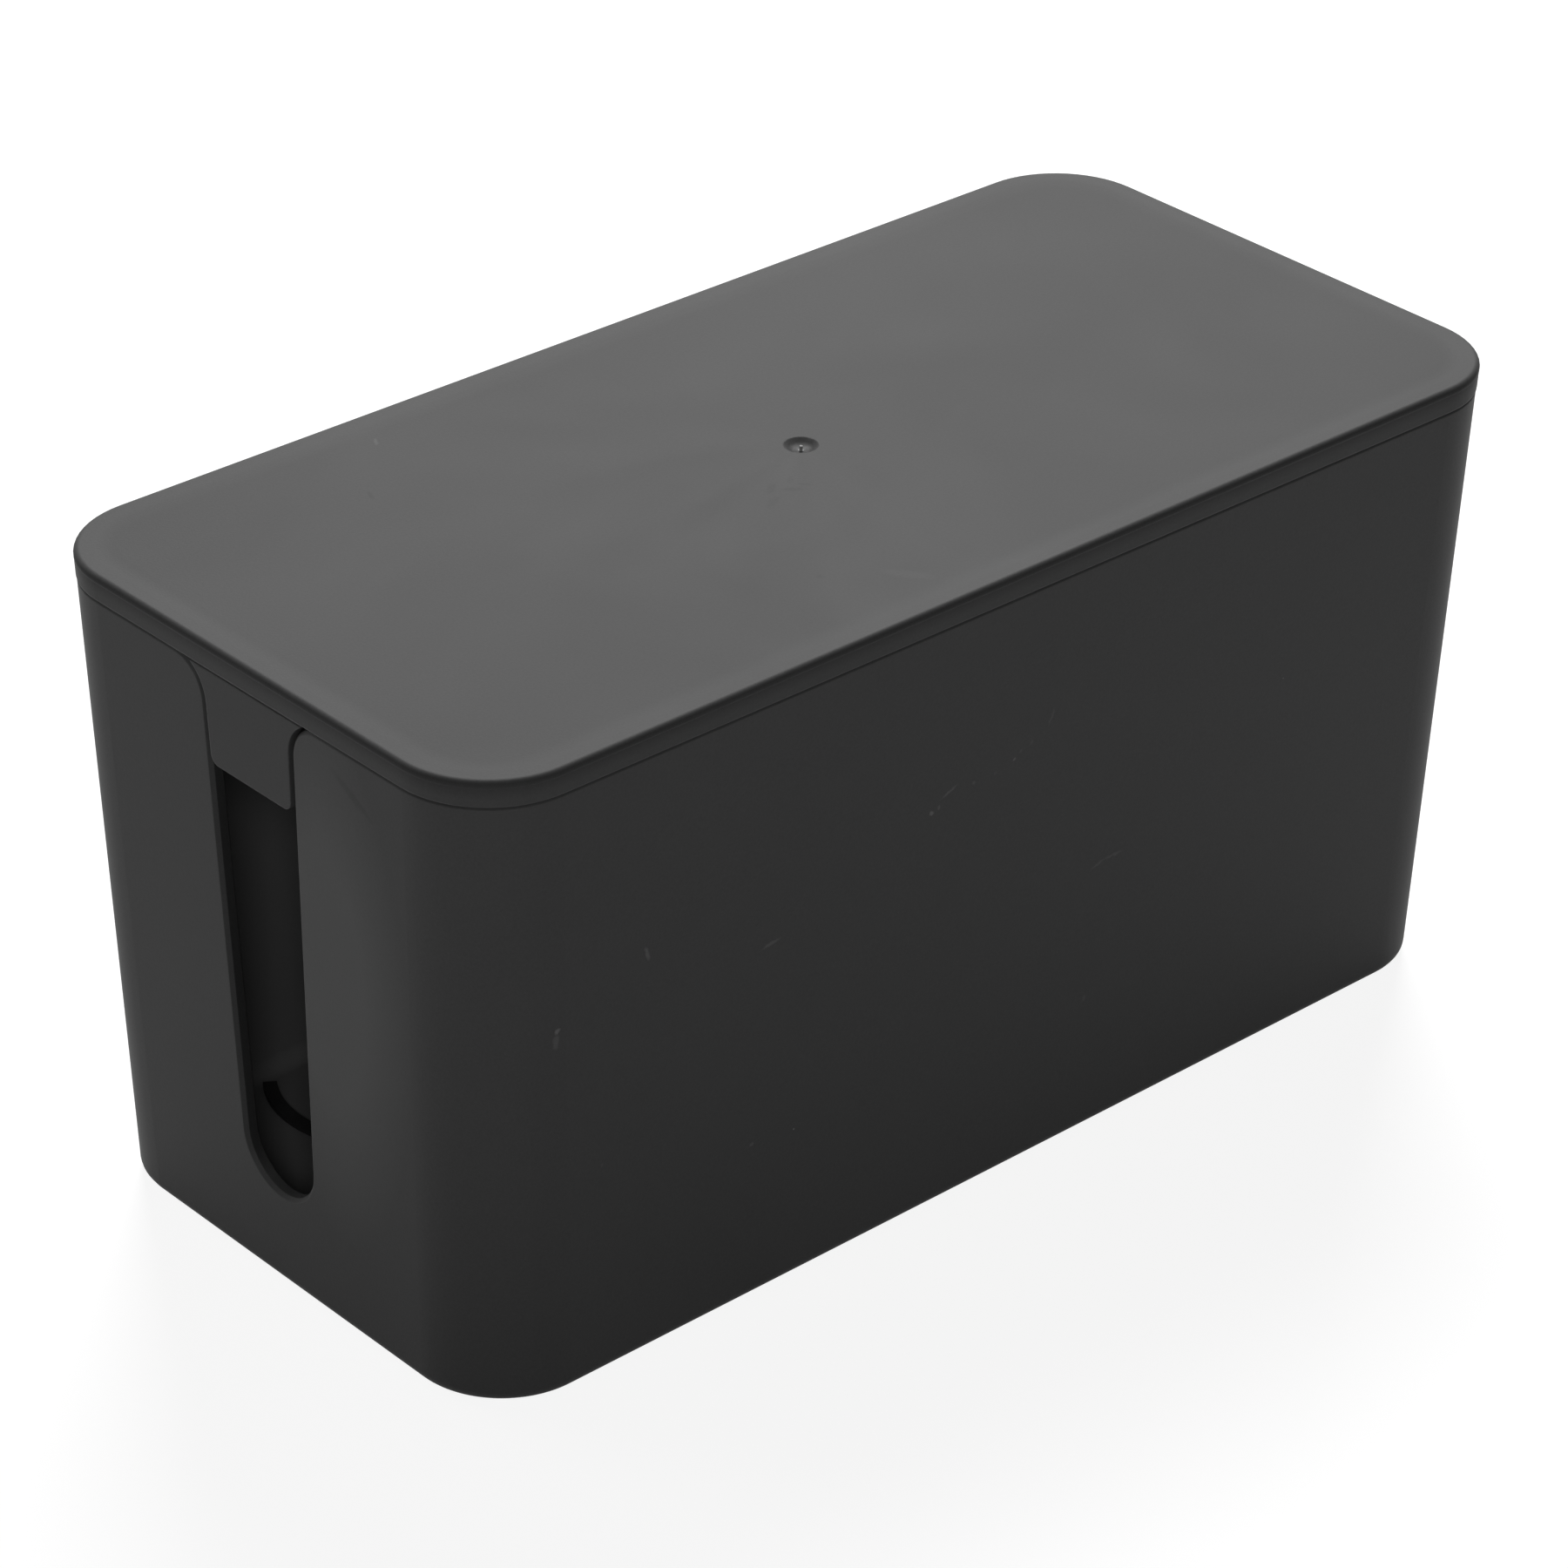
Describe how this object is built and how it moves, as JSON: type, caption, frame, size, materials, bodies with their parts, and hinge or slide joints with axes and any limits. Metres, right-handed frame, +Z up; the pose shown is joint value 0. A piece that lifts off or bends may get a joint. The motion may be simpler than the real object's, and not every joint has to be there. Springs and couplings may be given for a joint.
{
  "type": "cable management box",
  "caption": "Rounded, tapered tray with a cable slot in each short end, a lift-off lid with tabs that close the slot tops, and rubber feet, for hiding a power strip.",
  "frame": {"origin": "under the middle of the box, on the plane of the feet's undersides", "axes": "+X along the box towards one short end, +Y along its width, +Z up"},
  "size_m": [0.235, 0.1146, 0.121],
  "materials": {
    "moulded_body": "fine matt moulded texture, charcoal",
    "moulded_lid": "fine matt moulded texture, charcoal",
    "foot_rubber": "matt black"
  },
  "bodies": {
    "box": {"box_body": "moulded_body", "foot_front_left": "foot_rubber", "foot_front_right": "foot_rubber", "foot_back_left": "foot_rubber", "foot_back_right": "foot_rubber"},
    "lid": {"lid": "moulded_lid"}
  },
  "joints": [
    {"name": "lid_lift", "type": "slide", "parent": "box", "child": "lid", "axis": [0, 0, 1], "range_m": [0, 0.12]}
  ]
}
